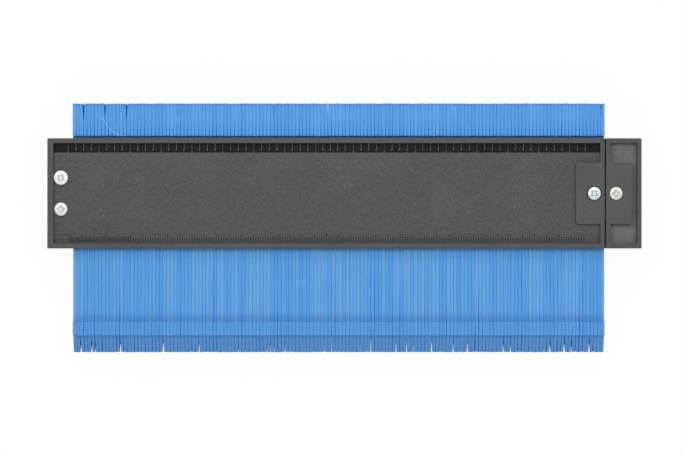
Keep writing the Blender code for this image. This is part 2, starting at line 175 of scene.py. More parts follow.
def weighNormals(piece):
    weighted = piece.modifiers.new("normals", "WEIGHTED_NORMAL")
    weighted.mode = "FACE_AREA"
    weighted.weight = 50
    weighted.keep_sharp = True
    return settle(piece)


def smoothFaces(piece):
    piece.data.shade_smooth()
    piece.data.set_sharp_from_angle(angle=math.radians(50))
    return piece


def scoreAt(piece, cuts):
    # cuts are (axis, place): edges across the faces there, where one finish ends and the next begins
    shape = bmesh.new()
    shape.from_mesh(piece.data)
    for axis, place in cuts:
        normal = Vector((axis == "x", axis == "y", axis == "z"))
        everything = shape.verts[:] + shape.edges[:] + shape.faces[:]
        bmesh.ops.bisect_plane(shape, geom=everything, plane_co=normal * place * mm, plane_no=normal)
    bmesh.ops.remove_doubles(shape, verts=shape.verts, dist=2e-6)
    bmesh.ops.dissolve_degenerate(shape, edges=shape.edges, dist=2e-6)
    shape.to_mesh(piece.data)
    shape.free()


def paint(piece, materials, choose):
    # choose gives the number of the material from a face's middle and its normal
    piece.data.materials.clear()
    for material in materials:
        piece.data.materials.append(material)
    for face in piece.data.polygons:
        face.material_index = choose(Vector(face.center) / mm, face.normal)


# Node helpers


def wire(value, socket):
    # value is another socket, or a plain number, colour or name
    if isinstance(value, bpy.types.NodeSocket):
        socket.id_data.links.new(value, socket)
    else:
        socket.default_value = value


def addNode(tree, kind, inputs=(), **settings):
    # inputs gives values by the name or the number of their socket
    made = tree.nodes.new(kind)
    for name, value in settings.items():
        setattr(made, name, value)
    for place, value in dict(inputs).items():
        wire(value, made.inputs[place])
    return made


def maths(operation, *values, clamp=False):
    tree = next(value.id_data for value in values if isinstance(value, bpy.types.NodeSocket))
    inputs = enumerate(values)
    return addNode(tree, "ShaderNodeMath", inputs, operation=operation, use_clamp=clamp).outputs[0]


def add(first, second):
    return maths("ADD", first, second)


def subtract(first, second):
    return maths("SUBTRACT", first, second)


def multiply(first, second):
    return maths("MULTIPLY", first, second)


def multiplyAdd(first, second, third):
    return maths("MULTIPLY_ADD", first, second, third)


def ramp(value, fromLow, fromHigh, toLow=0.0, toHigh=1.0):
    inputs = enumerate((value, fromLow, fromHigh, toLow, toHigh))
    return addNode(value.id_data, "ShaderNodeMapRange", inputs).outputs[0]


def noise(place, scale, detail=2.0, roughness=0.5, distortion=0.0):
    inputs = {"Vector": place, "Scale": scale, "Detail": detail, "Roughness": roughness}
    inputs["Distortion"] = distortion
    return addNode(place.id_data, "ShaderNodeTexNoise", inputs).outputs["Fac"]


def scaled(place, scale):
    inputs = {0: place, "Scale": scale}
    return addNode(place.id_data, "ShaderNodeVectorMath", inputs, operation="SCALE").outputs[0]


def separated(place):
    return addNode(place.id_data, "ShaderNodeSeparateXYZ", {0: place}).outputs


def combined(tree, **parts):
    return addNode(tree, "ShaderNodeCombineXYZ", parts).outputs[0]


def newTree(name, kind, inputs, outputs):
    # inputs and outputs are (name, socket type, value)
    # gives the tree, what it is given, what it puts out, and its inputs' identifiers
    tree = bpy.data.node_groups.new(name, kind)
    identifiers = {}
    for direction, rows in (("INPUT", inputs), ("OUTPUT", outputs)):
        for label, socketType, value in rows:
            socket = tree.interface.new_socket(name=label, in_out=direction, socket_type=socketType)
            if value is not None:
                socket.default_value = value
            if direction == "INPUT":
                identifiers[label] = socket.identifier
    given = addNode(tree, "NodeGroupInput").outputs
    return tree, given, addNode(tree, "NodeGroupOutput").inputs, identifiers


geometry, number, whole = "NodeSocketGeometry", "NodeSocketFloat", "NodeSocketInt"
vector, anObject, aMaterial = "NodeSocketVector", "NodeSocketObject", "NodeSocketMaterial"
mostNoise = (0.3, 0.7)      # between these lie nearly all values of a noise texture

# Shared shader groups


def makeGrainGroup():
    # the fine spark-eroded grain of a moulding tool, with broad cloudy patches
    tree, given, out, _ = newTree(
        "mouldGrain",
        "ShaderNodeTree",
        [("Vector", vector, None), ("Grain Scale", number, 4000.0), ("Cloud Scale", number, 40.0)],
        [("Grain", number, None), ("Cloud", number, None)],
    )
    place = given["Vector"]
    wire(noise(place, given["Grain Scale"], 3.0, 0.65), out["Grain"])
    wire(noise(place, given["Cloud Scale"], 3.0, 0.55, 0.4), out["Cloud"])
    return tree


scratches = {
    "warpScale": 90.0,
    "warp": 0.006,
    "patchScale": 75.0,
    "patchTop": 0.8,
}


def makeMarksGroup():
    # specks of dust and short pale scratches, as masks from 0 to 1
    tree, given, out, _ = newTree(
        "handlingMarks",
        "ShaderNodeTree",
        [
            ("Vector", vector, None),
            ("Speck Scale", number, 260.0),
            ("Speck Size", number, 0.06),
            ("Scratch Scale", number, 60.0),
            ("Scratch Width", number, 0.012),
            ("Rarity", number, 0.62),
        ],
        [("Specks", number, None), ("Scratches", number, None)],
    )
    place, rarity = given["Vector"], given["Rarity"]
    inputs = {"Vector": place, "Scale": given["Speck Scale"]}
    specks = addNode(tree, "ShaderNodeTexVoronoi", inputs, feature="F1").outputs
    pick = addNode(tree, "ShaderNodeSeparateColor", {"Color": specks["Color"]}).outputs
    dots = maths("LESS_THAN", specks["Distance"], multiply(pick[0], given["Speck Size"]))
    wire(multiply(dots, maths("GREATER_THAN", pick[1], rarity)), out["Specks"])

    # scratches follow the borders of large warped cells, and only here and there
    s = scratches
    inputs = {"Vector": place, "Scale": s["warpScale"]}
    bend = scaled(addNode(tree, "ShaderNodeTexNoise", inputs).outputs["Color"], s["warp"])
    moved = addNode(tree, "ShaderNodeVectorMath", {0: place, 1: bend}, operation="ADD").outputs[0]
    inputs = {"Vector": moved, "Scale": given["Scratch Scale"]}
    cells = addNode(tree, "ShaderNodeTexVoronoi", inputs, feature="DISTANCE_TO_EDGE").outputs
    lines = maths("LESS_THAN", cells["Distance"], given["Scratch Width"])
    patches = ramp(noise(place, s["patchScale"], 1.0), rarity, s["patchTop"])
    wire(multiply(lines, patches), out["Scratches"])
    return tree


grainGroup = makeGrainGroup()
marksGroup = makeMarksGroup()

# Materials


def newMaterial(name):
    material = bpy.data.materials.new(name)
    material.use_nodes = True
    tree = material.node_tree
    place = addNode(tree, "ShaderNodeTexCoord").outputs["Object"]
    return material, tree.nodes["Principled BSDF"].inputs, place


def useGroup(group, place, values):
    inputs = {"Vector": place, **values}
    return addNode(place.id_data, "ShaderNodeGroup", inputs, node_tree=group).outputs


def handlingMarks(place, values):
    marks = useGroup(marksGroup, place, values)
    return maths("ADD", marks["Specks"], marks["Scratches"], clamp=True)


def mixColour(factor, first, second):
    inputs = {0: factor}
    for place, value in ((6, first), (7, second)):    # the node's two colour sockets
        inputs[place] = (*value, 1.0) if isinstance(value, tuple) else value
    return addNode(factor.id_data, "ShaderNodeMix", inputs, data_type="RGBA").outputs[2]


def finishSurface(surface, s, colour, roughening, height):
    wire(colour, surface["Base Color"])
    smoother, rougher = s["roughSwing"]
    wire(ramp(roughening, *mostNoise, s["rough"] - smoother, s["rough"] + rougher), surface["Roughness"])
    wire(s["specular"], surface["Specular IOR Level"])
    inputs = {"Height": height, "Strength": s["bump"], "Distance": s["bumpDepth"] * mm}
    wire(addNode(height.id_data, "ShaderNodeBump", inputs).outputs["Normal"], surface["Normal"])


def storedValue(place, name):
    settings = {"attribute_type": "GEOMETRY", "attribute_name": name}
    return addNode(place.id_data, "ShaderNodeAttribute", **settings).outputs["Fac"]


def greyPlastic(name, s):
    material, surface, place = newMaterial(name)
    grain = useGroup(grainGroup, place, {"Grain Scale": s["grainScale"], "Cloud Scale": s["cloudScale"]})
    base = mixColour(ramp(grain["Cloud"], *mostNoise), s["dark"], s["light"])
    speckled = ramp(grain["Grain"], *mostNoise, 1.0 - s["mottle"], 1.0 + s["mottle"])
    shown = multiply(handlingMarks(place, s["handling"]), s["marks"])
    dusty = mixColour(shown, scaled(base, speckled), s["dust"])
    finishSurface(surface, s, dusty, grain["Cloud"], grain["Grain"])
    return material


grained = {
    "dark": (0.061, 0.061, 0.062),
    "light": (0.073, 0.073, 0.073),
    "mottle": 0.35,
    "marks": 0.18,
    "dust": (0.30, 0.30, 0.29),
    "handling": {"Speck Scale": 330.0, "Speck Size": 0.07, "Scratch Width": 0.006, "Rarity": 0.7},
    "grainScale": 1700.0,
    "cloudScale": 45.0,
    "rough": 0.38,
    "roughSwing": (0.04, 0.05),
    "specular": 0.16,
    "bump": 0.7,
    "bumpDepth": 0.05,
}
etched = dict(
    grained,
    dark=(0.067, 0.067, 0.074),
    light=(0.074, 0.074, 0.081),
    mottle=0.15,
    marks=0.1,
    rough=0.6,
    bump=0.25,
)
greyFinishes = {
    "grained": grained,
    "rim": dict(grained, dark=(0.066, 0.067, 0.069), light=(0.076, 0.077, 0.079), mottle=0.2, rough=0.5),
    "pad": dict(grained, dark=(0.068, 0.068, 0.069), light=(0.078, 0.078, 0.079), mottle=0.3),
    # painted light: the cap's deep floors are paler, making up for the light the recess walls keep out
    "capFloor": dict(grained, dark=(0.132, 0.133, 0.133), light=(0.156, 0.157, 0.157), mottle=0.2),
    # painted shade: the millimetre grooves are darker than the band they are cut in
    "groove": dict(
        etched, dark=(0.050, 0.050, 0.056), light=(0.058, 0.058, 0.064), mottle=0.3, specular=0.12
    ),
    # painted shade: near black, standing in for the shadow that the upper rim casts across the inch band
    "polished": dict(
        grained,
        dark=(0.008, 0.008, 0.008),
        light=(0.014, 0.014, 0.014),
        mottle=0.5,
        marks=0.2,
        dust=(0.06, 0.06, 0.06),
        rough=0.5,
        specular=0.08,
        bump=0.08,
    ),
    "etched": etched,
    # painted highlight: the metric ribs are paler than the band's floor, like ridges catching the light
    "rib": dict(etched, dark=(0.086, 0.086, 0.094), light=(0.096, 0.096, 0.104)),
    # painted highlight: a paler grey on the short inch ribs and their beads, standing in for light caught on
    # their rounded tops
    "worn": dict(
        grained, dark=(0.11, 0.11, 0.11), light=(0.17, 0.17, 0.165), mottle=0.1, marks=0.1, bump=0.1
    ),
}
grey = {name: greyPlastic(name + "Plastic", settings) for name, settings in greyFinishes.items()}

leafBlue = {
    "deep": (0.062, 0.262, 0.618),
    "pale": (0.086, 0.305, 0.680),
    "scuff": (0.40, 0.62, 0.86),
    "paintedShadeBlue": (0.078, 0.238, 0.525),    # painted shade: the tips' taper, which faces away from the light, darkened strongly, and the lugs slightly
    "neckStreaks": (0.142, 0.335, 0.550),      # the necks, paler and greyer in streaks
    "neckFrom": (-38.8, -38.3),
    "headFrom": (37.0, 36.0),
    "tipShadeFrom": (-43.8, -45.2),
    "neckStreakShare": 0.6,
    "lugShade": 0.28,
    "tipShade": 0.85,
    "streakStretch": (1.0, 0.06, 1.0),
    "streakScale": 1500.0,
    "toneShare": 0.55,         # of each leaf's own tone, beside its streaks
    "neckToneShare": 0.3,
    "toneBand": (0.15, 0.8),
    "neckStreakBand": (0.42, 0.72),
    "handling": {"Speck Scale": 420.0, "Speck Size": 0.10, "Scratch Width": 0.010, "Rarity": 0.72},
    "rough": 0.5,
    "roughSwing": (0.05, 0.08),
    "specular": 0.2,
    "bump": 0.25,
    "bumpDepth": 0.02,
    "scuffs": 0.4,
    "hair": {
        "centre": (-89.5, 47.8),
        "radius": 9.9,
        "width": 0.11,
        "toX": -89.0,
        "below": 2.4,
        "shown": 0.45,
    },
}


def bluePlastic(name, s):
    material, surface, place = newMaterial(name)
    tone = storedValue(place, "leafTone")
    # long faint streaks along each leaf, from the mould and from sliding
    inputs = {"Vector": place, "Scale": s["streakStretch"]}
    stretched = addNode(place.id_data, "ShaderNodeMapping", inputs).outputs[0]
    streaks = noise(stretched, s["streakScale"], roughness=0.6)

    def toned(share):
        return multiplyAdd(tone, share, multiply(streaks, 1.0 - share))

    fresh = mixColour(ramp(toned(s["toneShare"]), *s["toneBand"]), s["deep"], s["pale"])
    x, y, _ = separated(place)

    def along(span, most=1.0):
        return ramp(y, span[0] * mm, span[1] * mm, 0.0, most)

    onNeck = along(s["neckFrom"])
    streaky = ramp(toned(s["neckToneShare"]), *s["neckStreakBand"], 0.0, s["neckStreakShare"])
    neckStreaks = mixColour(multiply(multiply(onNeck, along(s["headFrom"])), streaky), fresh, s["neckStreaks"])
    # painted shade: slight on the lugs, strong on the tips' taper
    onLug = subtract(s["lugShade"], multiply(onNeck, s["lugShade"]))
    paintedShade = maths("MAXIMUM", onLug, along(s["tipShadeFrom"], s["tipShade"]))
    base = mixColour(paintedShade, neckStreaks, s["paintedShadeBlue"])

    # one fine curved hair scratch across the heads at the left
    hair = s["hair"]
    offX = subtract(x, hair["centre"][0] * mm)
    offY = subtract(y, hair["centre"][1] * mm)
    away = maths("SQRT", multiplyAdd(offX, offX, multiply(offY, offY)))
    line = maths("LESS_THAN", maths("ABSOLUTE", subtract(away, hair["radius"] * mm)), hair["width"] * mm)
    low = maths("LESS_THAN", offY, -hair["below"] * mm)
    inside = multiply(low, maths("LESS_THAN", offX, (hair["toX"] - hair["centre"][0]) * mm))
    hairLine = multiply(multiply(line, inside), hair["shown"])
    seen = maths("MAXIMUM", multiply(handlingMarks(place, s["handling"]), s["scuffs"]), hairLine)
    finishSurface(surface, s, mixColour(seen, base, s["scuff"]), streaks, streaks)
    return material


# painted light: the broken edges between the leaves get a brighter, more saturated blue, standing in for
# light coming through the thin plastic
seamGlowBlue = dict(
    leafBlue, deep=(0.018, 0.27, 0.80), pale=(0.026, 0.30, 0.88), paintedShadeBlue=(0.03, 0.24, 0.68), specular=0.1
)
leafPlastic = bluePlastic("leafPlastic", leafBlue)
seamPlastic = bluePlastic("seamPlastic", seamGlowBlue)


plating = {
    "ringScale": 9000.0,
    "cloudScale": 900.0,
    "cloudBand": (0.35, 0.7),
    "cloudShade": 0.95,
    "recessShade": 0.7,
    "recessBand": (0.1, 0.9, 0.0, 0.5),     # from and to, and how much of the shade shows there
    "metallic": 0.55,
    "roughSwing": (0.04, 0.05),
    "specular": 0.5,
    "bump": 0.06,
    "bumpDepth": 0.01,
}


def platedSteel(name, tint, rough):
    # bright plating over turned steel: rings about each screw's own axis, a little cloudiness, and painted
    # shade in the driver recess
    material, surface, place = newMaterial(name)
    s = dict(plating, rough=rough)
    inputs = {"W": multiply(storedValue(place, "fromAxis"), s["ringScale"]), "Scale": 1.0}
    rings = addNode(place.id_data, "ShaderNodeTexNoise", inputs, noise_dimensions="1D").outputs["Fac"]
    cloud = noise(place, s["cloudScale"], 3.0)
    clouded, shaded = (tuple(part * s[shade] for part in tint) for shade in ("cloudShade", "recessShade"))
    base = mixColour(ramp(cloud, *s["cloudBand"]), clouded, tint)
    # painted shade: darker towards the floor of the driver recess
    colour = mixColour(ramp(storedValue(place, "recessed"), *s["recessBand"]), base, shaded)
    wire(s["metallic"], surface["Metallic"])
    finishSurface(surface, s, colour, cloud, rings)
    return material


brightSteel = platedSteel("brightSteel", (0.66, 0.67, 0.66), 0.46)
coolSteel = platedSteel("coolSteel", (0.58, 0.65, 0.68), 0.44)
warmSteel = platedSteel("warmSteel", (0.61, 0.60, 0.56), 0.48)
print("materials ready")

# Housing shells

shellLow, shellHigh = boxInMm("front_shell")
capLow, capHigh = boxInMm("end_cap")
housing = {
    "edgeRadius": 0.3,
    "softEdge": 0.12,
    "recessCorner": 0.3,
    "leftRim": 2.5,
    "longRim": 2.0,
    "rightRim": 1.85,
    "inner": 5.7,
    "panel": 8.0,
    "rim": 10.0,
    "parting": 0.05,
    "blockLength": 10.2,
    "inchWidth": 3.8,
    "inchDepth": 0.8,
    "metricWidth": 3.7,
    "metricDepth": 0.3,
    "padX": 94.8825,
    "padHalf": 12.6,
    "padCorner": 1.0,
    "pocketX": 96.1825,
    "pocketHalf": 11.3,
    "pocketLevel": 7.35,
}
halfHeight = (shellHigh.y - shellLow.y) / 2
recessHalf = halfHeight - housing["longRim"]
recessLeft = shellLow.x + housing["leftRim"]
recessRight = shellHigh.x - housing["rightRim"]
recessTop, recessFoot = centreY + recessHalf, centreY - recessHalf
padEdges = [("y", centreY + end * housing["padHalf"]) for end in (1, -1)]
screwSpots = {
    "left": (shellLow.x + 5.5, 6.45),
    "leftSeat": 7.9,
    "clampX": 102.5125,
    "capX": 111.4525,
    "holeRadius": 1.35,
    "sinkRadius": 2.95,
    "capSinkRadius": 2.85,
    "upperSeatRadius": 3.2,
    "sunkSeat": 8.25,
    "headGap": 0.05,
    "squeeze": 0.35,
    "release": 0.15,
}


def recessCutter(name, corners, low, high):
    # corners are measured from the housing's centre line
    return prism(name, [(u, v + centreY) for u, v in rounded(corners)], low, high)


def shellRecess(side):
    h = housing
    small, pad, half = h["recessCorner"], h["padCorner"], h["padHalf"]
    corners = [
        (recessLeft, -recessHalf, small),
        (recessRight, -recessHalf, small),
        (recessRight, -half, 0),
        (h["padX"], -half, pad),
        (h["padX"], half, pad),
        (recessRight, half, 0),
        (recessRight, recessHalf, small),
        (recessLeft, recessHalf, small),
    ]
    return recessCutter("recess", corners, *levels(side, h["panel"], h["rim"] + 1))


def bore(name, x, y, radius, reach, sides=40):
    return prism(name, roundOutline(x, y, radius, sides), *reach)


def bandCutter(name, foot, edge, depth):
    # edge is the side along the rim, which has the recess's own small corners
    small = housing["recessCorner"]
    corners = [(recessLeft, foot, 0), (recessRight, foot, 0)]
    corners += [(recessRight, edge, small), (recessLeft, edge, small)]
    if edge < foot:
        corners.reverse()
    return prism(name, rounded(corners), *levels(1, housing["panel"] - depth, housing["rim"] + 1))


def makeShell(name, side):
    h, s = housing, screwSpots
    left, right = shellLow.x, shellHigh.x
    blockX = left + h["blockLength"]
    rim = middle + side * h["rim"]
    stations = [(left, "parting"), (left, "rim"), (right, "rim")]
    stations += [(right, "inner"), (blockX, "inner"), (blockX, "parting")]
    profile = [(x, middle + side * h[level]) for x, level in stations]
    shell = prism(name, profile, centreY - halfHeight, centreY + halfHeight, upright=True)

    def outside(a, b):
        onRim = abs(a.z - rim) < touch and abs(b.z - rim) < touch
        upright = (a - b).xy.length < touch and (abs(a.x - left) < touch or abs(a.x - right) < touch)
        return onRim or upright

    roundEdges(shell, h["edgeRadius"], 3, outside)
    cutters = [shellRecess(side)]
    if side > 0:
        cutters.append(bandCutter("inchBand", recessTop - h["inchWidth"], recessTop, h["inchDepth"]))
        cutters.append(bandCutter("metricBand", recessFoot + h["metricWidth"], recessFoot, h["metricDepth"]))
    low, high = levels(side, h["inner"] - 1, h["pocketLevel"])
    pocketLow = (h["pocketX"], centreY - h["pocketHalf"], low)
    cutters.append(block("pocket", pocketLow, (right + 1, centreY + h["pocketHalf"], high)))
    ends = (s["clampX"] - s["squeeze"], s["clampX"] + s["release"])
    slots = (("slot", "holeRadius", h["inner"] - 1), ("sink", "sinkRadius", s["sunkSeat"]))
    for place, radius, foot in slots:
        outline = slotOutline(*ends, centreY, s[radius])
        cutters.append(prism(place, outline, *levels(side, foot, h["rim"] + 1)))
    carve(shell, cutters)
    soften(shell, h["softEdge"])
    if side > 0:
        # the seats of the left screws bite a little into the rim
        x, offset = s["left"]
        seats = []
        spots = (("upper", centreY + offset, "upperSeatRadius"), ("lower", centreY - offset, "sinkRadius"))
        for place, y, radius in spots:
            seats.append(bore(place + "Seat", x, y, s[radius], levels(1, s["leftSeat"], 11)))
            seats.append(bore(place + "Hole", x, y, s["holeRadius"], levels(1, -1, 9), 24))
        seats.append(metricBed())
        carve(shell, seats)
    scoreAt(shell, [("x", recessRight)] + padEdges)
    return weighNormals(smoothFaces(shell))


# The two scales

inchScale = {
    "runs": [  # first tick, pitch, how many, which of them are long
        (-113.37, 3.1738, 33, 4),
        (-8.775, 3.024, 4, 0),
        (3.67, 3.1713, 31, 4),
    ],
    "ribWidth": 0.2,
    "longRibWidth": 0.26,
    "drop": 0.12,
    "shortFoot": 31.95,
    "beadRadius": 0.27,
    "beadOff": (-0.12, 0.12),
    "beadRise": 0.05,
    "beadEdge": 0.07,
    "wedgeFoot": (0.32, -0.1),     # half its width, and its height from the band's lower edge
    "wedgeTop": (0.1, 0.75),
}
metricScale = {
    "first": -112.85,
    "pitch": 1.0052,
    "count": 210,
    "grooveWidth": 0.52,
    "ribWidths": [(25, 0.26), (50, 0.60), (210, 0.50)],     # up to which mark, and how wide
    "grooveDepth": 0.4,
    "longTop": -2.85,
    "shortTop": -3.5,
    "foot": -5.8,
    "edge": 0.06,
}
bury = 0.02     # how far a rib reaches into what it stands on


def metricBed():
    # the ribs between the millimetre grooves stand on this sunk floor
    m = metricScale
    fromX = m["first"] - m["grooveWidth"] / 2
    toX = m["first"] + m["count"] * m["pitch"] + m["grooveWidth"] / 2
    low = middle + housing["panel"] - housing["metricDepth"] - m["grooveDepth"]
    return block("metricBed", (fromX, m["foot"], low), (toX, m["longTop"], low + 5))


def namedValue(tree, name, kind="FLOAT"):
    made = addNode(tree, "GeometryNodeInputNamedAttribute", {"Name": name}, data_type=kind)
    return made.outputs["Attribute"]


def copiesOnMarks(tree, marks, source, **turning):
    # the source object's shape on every mark, as real mesh
    shape = addNode(tree, "GeometryNodeObjectInfo", {"Object": source}).outputs["Geometry"]
    inputs = {"Points": marks, "Instance": shape, **turning}
    placed = addNode(tree, "GeometryNodeInstanceOnPoints", inputs).outputs[0]
    return addNode(tree, "GeometryNodeRealizeInstances", {"Geometry": placed}).outputs[0]


def finished(tree, shape, material, **chosen):
    inputs = {"Geometry": shape, "Material": material, **chosen}
    return addNode(tree, "GeometryNodeSetMaterial", inputs).outputs[0]


def makePlacingTree():
    tree, given, out, identifiers = newTree(
        "placeOnMarks",
        "GeometryNodeTree",
        [("Marks", geometry, None), ("Shape", anObject, None), ("Finish", aMaterial, None)],
        [("Geometry", geometry, None)],
    )
    angles = combined(tree, X=namedValue(tree, "tilt"), Z=namedValue(tree, "turn"))
    rotation = addNode(tree, "FunctionNodeEulerToRotation", {0: angles}).outputs[0]
    real = copiesOnMarks(tree, given["Marks"], given["Shape"], Rotation=rotation)
    wire(finished(tree, real, given["Finish"]), out["Geometry"])
    return tree, identifiers


placingTree, placingInputs = makePlacingTree()


def marksObject(name, rows, columns):
    # one vertex for each row of (x, y, z, values...), with the values as named attributes
    mesh = bpy.data.meshes.new(name)
    mesh.from_pydata([Vector(row[:3]) * mm for row in rows], [], [])
    for index, column in enumerate(columns):
        attribute = mesh.attributes.new(column, "FLOAT", "POINT")
        for item, row in zip(attribute.data, rows):
            item.value = row[3 + index]
    return inScene(name, mesh)


def growOn(marks, tree, identifiers, values):
    modifier = marks.modifiers.new("growing", "NODES")
    modifier.node_group = tree
    for label, value in values.items():
        modifier[identifiers[label]] = value


def dropAttributes(piece, names):
    for name in names:
        attribute = piece.data.attributes.get(name)
        if attribute:
            piece.data.attributes.remove(attribute)


def placeOnMarks(name, shape, rows, material):
    columns = ("tilt", "turn")
    made = marksObject(name, rows, columns)
    growOn(made, placingTree, placingInputs, {"Shape": shape, "Finish": material})
    dropAttributes(settle(made), columns)
    return made


def joined(name, parts):
    shape = bmesh.new()
    materials = []
    for part in parts:
        start = len(shape.faces)
        shape.from_mesh(part.data)
        shape.faces.ensure_lookup_table()
        for face in shape.faces[start:]:
            used = part.data.materials[face.material_index]
            if used not in materials:
                materials.append(used)
            face.material_index = materials.index(used)
    mesh = bpy.data.meshes.new(name)
    shape.to_mesh(mesh)
    shape.free()
    for material in materials:
        mesh.materials.append(material)
    for part in parts:
        bpy.data.objects.remove(part)
    return inScene(name, mesh)


def ridge(name, width, fromY, toY, low, high, edge=0.05):
    # one small rib centred on x = 0, with its upper edges broken
    made = block(name, (-width / 2, fromY, low), (width / 2, toY, high))
    roundEdges(made, edge, 1, lambda a, b: abs(a.z - high) < 0.001 and abs(b.z - high) < 0.001)
    return made


def spread(name, shapes):
    # shapes are (shape, places along x, material)
    parts = []
    for shape, places, material in shapes:
        rows = [(x, 0, 0, 0, 0) for x in places]
        parts.append(placeOnMarks(shape.name + "s", shape, rows, material))
    for shape, _, _ in shapes:
        bpy.data.objects.remove(shape)
    return joined(name, parts)


def makeInchTicks():
    i = inchScale
    panel = middle + housing["panel"]
    floor = panel - housing["inchDepth"] - bury
    top = panel - i["drop"]
    bandTop = recessTop + bury
    bandFoot = recessTop - housing["inchWidth"]
    shortRib = ridge("shortRib", i["ribWidth"], i["shortFoot"], bandTop, floor, top)
    longRib = ridge("longRib", i["longRibWidth"], bandFoot - bury, bandTop, floor, top)
    # a short rib ends in a small hooked bead, and a long one in a wedge on the panel's edge
    offX, offY = i["beadOff"]
    beadOutline = [(u + offX, v + i["shortFoot"] + offY) for u, v in roundOutline(0, 0, i["beadRadius"], 8)]
    bead = prism("bead", beadOutline, floor, top + i["beadRise"])
    roundEdges(bead, i["beadEdge"], 1, lambda a, b: a.z > top and b.z > top)
    (wide, foot), (narrow, tip) = i["wedgeFoot"], i["wedgeTop"]
    wedgeOutline = [(-wide, foot), (wide, foot), (narrow, tip), (-narrow, tip)]
    wedge = prism("wedge", [(u, bandFoot + v) for u, v in wedgeOutline], floor, panel + bury)
    shortPlaces, longPlaces = [], []
    for first, pitch, count, every in i["runs"]:
        for index in range(count):
            isLong = every and index % every == 0
            (longPlaces if isLong else shortPlaces).append(first + index * pitch)
    # the short ribs and beads get the painted highlight grey; the long ribs and wedges keep the rim's grey
    shapes = [(shape, shortPlaces, grey["worn"]) for shape in (shortRib, bead)]
    shapes += [(shape, longPlaces, grey["rim"]) for shape in (longRib, wedge)]
    return spread("inchTicks", shapes)


def makeMetricTicks():
    m = metricScale
    top = middle + housing["panel"] - housing["metricDepth"]
    floor = top - m["grooveDepth"] - bury
    headWidth = 5 * m["pitch"] - m["grooveWidth"]
    header = ridge("header", headWidth, m["shortTop"] - bury, m["longTop"] + bury, floor, top, m["edge"])
    ribPlaces = [m["first"] + (index + 0.5) * m["pitch"] for index in range(m["count"])]
    headPlaces = [m["first"] + (index * 5 + 2.5) * m["pitch"] for index in range(m["count"] // 5)]
    # the ribs take the paler rib grey as painted highlight, beside the grooves' painted shade
    shapes = [(header, headPlaces, grey["rib"])]
    begin = 0
    for end, width in m["ribWidths"]:
        rib = ridge(f"rib{end}", width, m["foot"] - bury, m["shortTop"], floor, top, m["edge"])
        shapes.append((rib, ribPlaces[begin:end], grey["rib"]))
        begin = end
    return spread("metricTicks", shapes)


finishLimits = {
    "skin": 0.45,         # below the rims and pads
    "padSkirt": 0.5,      # beside the pads
    "wall": 0.3,          # into the recess's end walls
    "slip": 0.05,         # round the edges of the two bands
    "longWall": 0.1,      # into the recess's lower wall
    "inchFloor": 6.5,
    "grooveFloor": 6.8,
    "bandFloor": 7.5,
    "capFloor": 0.15,     # above and below the cap's floors
    "capWall": 6.2,
}


def finishOf(centre, normal):
    # the rims are smoother, the inch band is coloured near black as painted shade of the rim's shadow, the
    # metric band finely etched with painted shade in its grooves
    f, h = finishLimits, housing
    panel = middle + h["panel"]
    if abs(centre.z - middle) > h["rim"] - f["skin"]:
        onPad = centre.x > h["padX"] - f["padSkirt"] and abs(centre.y - centreY) < h["padHalf"]
        return 5 if onPad else 4
    if centre.z < middle or not recessLeft - f["wall"] < centre.x < recessRight + f["wall"]:
        return 0
    if abs(normal.z) < 0.5 and centre.z > panel - f["slip"]:
        return 4
    inchFoot = recessTop - h["inchWidth"] - f["slip"]
    if centre.y > inchFoot and middle + f["inchFloor"] < centre.z < panel - f["slip"]:
        return 1
    if recessFoot - f["longWall"] < centre.y < recessFoot + h["metricWidth"] + f["slip"]:
        if middle + f["bandFloor"] < centre.z < panel - f["slip"]:
            return 2
        if middle + f["grooveFloor"] < centre.z <= middle + f["bandFloor"]:
            return 3
    return 0


shellFinishes = [grey[name] for name in ("grained", "polished", "etched", "groove", "rim", "pad")]
housingPieces = []
for name, side, node in (("frontShell", 1, "front_shell"), ("rearShell", -1, "rear_shell")):
    shell = makeShell(name, side)
    paint(shell, shellFinishes, finishOf)
    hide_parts(node)
    housingPieces.append(shell)
housingPieces += [makeInchTicks(), makeMetricTicks()]
for piece in housingPieces:
    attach(piece, "housing")
print("housing ready")

# End cap and its link plates

endCap = {
    "rim": 1.8,
    "recessCorner": 0.5,
    "recessDepth": 4.0,
    "padX": 118.1325,
    "pocketX": 116.8325,
    "pocketFloor": 5.6,
    "pilotFloor": 1.75,
    "markY": 32.65,
    "markWidth": 0.22,
    "markDepth": 0.1,
}
linkPlate = {
    "fromX": 96.8325,
    "toX": 116.5325,
    "half": 11.0,
    "corner": 1.5,
    "low": 5.75,
    "high": 7.2,
    "softEdge": 0.15,
}


